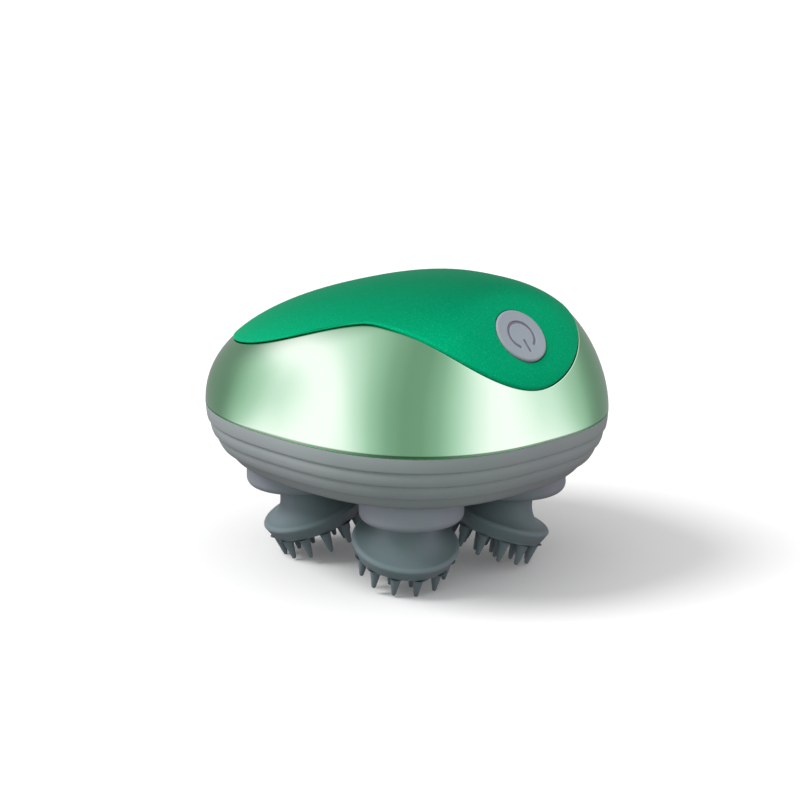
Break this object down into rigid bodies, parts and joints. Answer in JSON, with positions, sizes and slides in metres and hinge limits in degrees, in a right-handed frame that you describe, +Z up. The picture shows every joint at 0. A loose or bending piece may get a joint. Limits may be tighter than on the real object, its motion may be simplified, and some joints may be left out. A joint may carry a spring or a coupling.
{
  "type": "electric scalp massager",
  "caption": "Cordless hand-held scalp massager: an egg-shaped body with a wave-edged cover and a round power button over four geared, tilted silicone heads with soft fingers.",
  "frame": {"origin": "on the surface the finger tips stand on, below the centre of the body's widest section", "axes": "+X towards the button end, +Y across the body, +Z up"},
  "size_m": [0.1036, 0.0944, 0.0798],
  "materials": {
    "base_plastic": "satin",
    "metallic_green": "satin",
    "pearl_green": "satin",
    "black_rubber": "matte",
    "button_grey": "matte",
    "white_rubber": "matte",
    "black_plastic": "matte",
    "board_green": "gloss",
    "collar_grey": "matte",
    "head_silicone": "matte",
    "steel": "satin",
    "spring_steel": "satin",
    "gear_plastic": "satin",
    "bronze": "satin",
    "inner_plastic": "matte",
    "motor_can": "satin",
    "battery_wrap": "gloss",
    "gold": "gloss",
    "black_screw": "satin"
  },
  "bodies": {
    "body": {"base_housing": "base_plastic", "top_shell": "metallic_green", "top_cover": "pearl_green", "seam_seal": "black_rubber", "button_spring": "white_rubber", "tact_switch": "black_plastic", "switch_board": "board_green", "bushing_1": "bronze", "bushing_2": "bronze", "bushing_3": "bronze", "bushing_4": "bronze", "spindle_seal_1": "black_rubber", "spindle_seal_2": "black_rubber", "spindle_seal_3": "black_rubber", "spindle_seal_4": "black_rubber", "gear_cover": "inner_plastic", "gearhead": "steel", "motor": "motor_can", "battery": "battery_wrap", "battery_cradle": "inner_plastic", "main_board": "board_green", "board_parts": "black_plastic", "charge_contacts": "gold", "housing_screws": "black_screw", "cover_plate_screws": "steel"},
    "head_1": {"collar_1": "collar_grey", "massage_head_1": "head_silicone", "spindle_1": "steel", "head_gear_1": "gear_plastic", "retaining_clip_1": "spring_steel"},
    "head_2": {"collar_2": "collar_grey", "massage_head_2": "head_silicone", "spindle_2": "steel", "head_gear_2": "gear_plastic", "retaining_clip_2": "spring_steel"},
    "head_3": {"collar_3": "collar_grey", "massage_head_3": "head_silicone", "spindle_3": "steel", "head_gear_3": "gear_plastic", "retaining_clip_3": "spring_steel"},
    "head_4": {"collar_4": "collar_grey", "massage_head_4": "head_silicone", "spindle_4": "steel", "head_gear_4": "gear_plastic", "retaining_clip_4": "spring_steel"},
    "drive": {"drive_gear": "gear_plastic", "drive_shaft": "steel"},
    "button": {"power_button": "button_grey", "switch_plunger": "black_plastic"}
  },
  "joints": [
    {"name": "head_1_spin", "type": "hinge", "parent": "body", "child": "head_1", "pos_m": [0.02204, 0.01916, 0.02], "axis": [0, 0, 1], "continuous": true},
    {"name": "head_2_spin", "type": "hinge", "parent": "body", "child": "head_2", "pos_m": [-0.02204, 0.01916, 0.02], "axis": [0, 0, 1], "continuous": true},
    {"name": "head_3_spin", "type": "hinge", "parent": "body", "child": "head_3", "pos_m": [-0.02204, -0.01916, 0.02], "axis": [0, 0, 1], "continuous": true},
    {"name": "head_4_spin", "type": "hinge", "parent": "body", "child": "head_4", "pos_m": [0.02204, -0.01916, 0.02], "axis": [0, 0, 1], "continuous": true},
    {"name": "drive_spin", "type": "hinge", "parent": "body", "child": "drive", "pos_m": [0, 0, 0.04], "axis": [0, 0, 1], "continuous": true},
    {"name": "button_press", "type": "slide", "parent": "body", "child": "button", "axis": [-0.7431, 0, -0.6691], "range_m": [0, 0.0006], "stiffness_N_per_m": 1500}
  ],
  "couplings": [
    {"joint": "head_2_spin", "follows": "head_1_spin", "ratio": 1},
    {"joint": "head_3_spin", "follows": "head_1_spin", "ratio": 1},
    {"joint": "head_4_spin", "follows": "head_1_spin", "ratio": 1},
    {"joint": "drive_spin", "follows": "head_1_spin", "ratio": -1.6071}
  ]
}
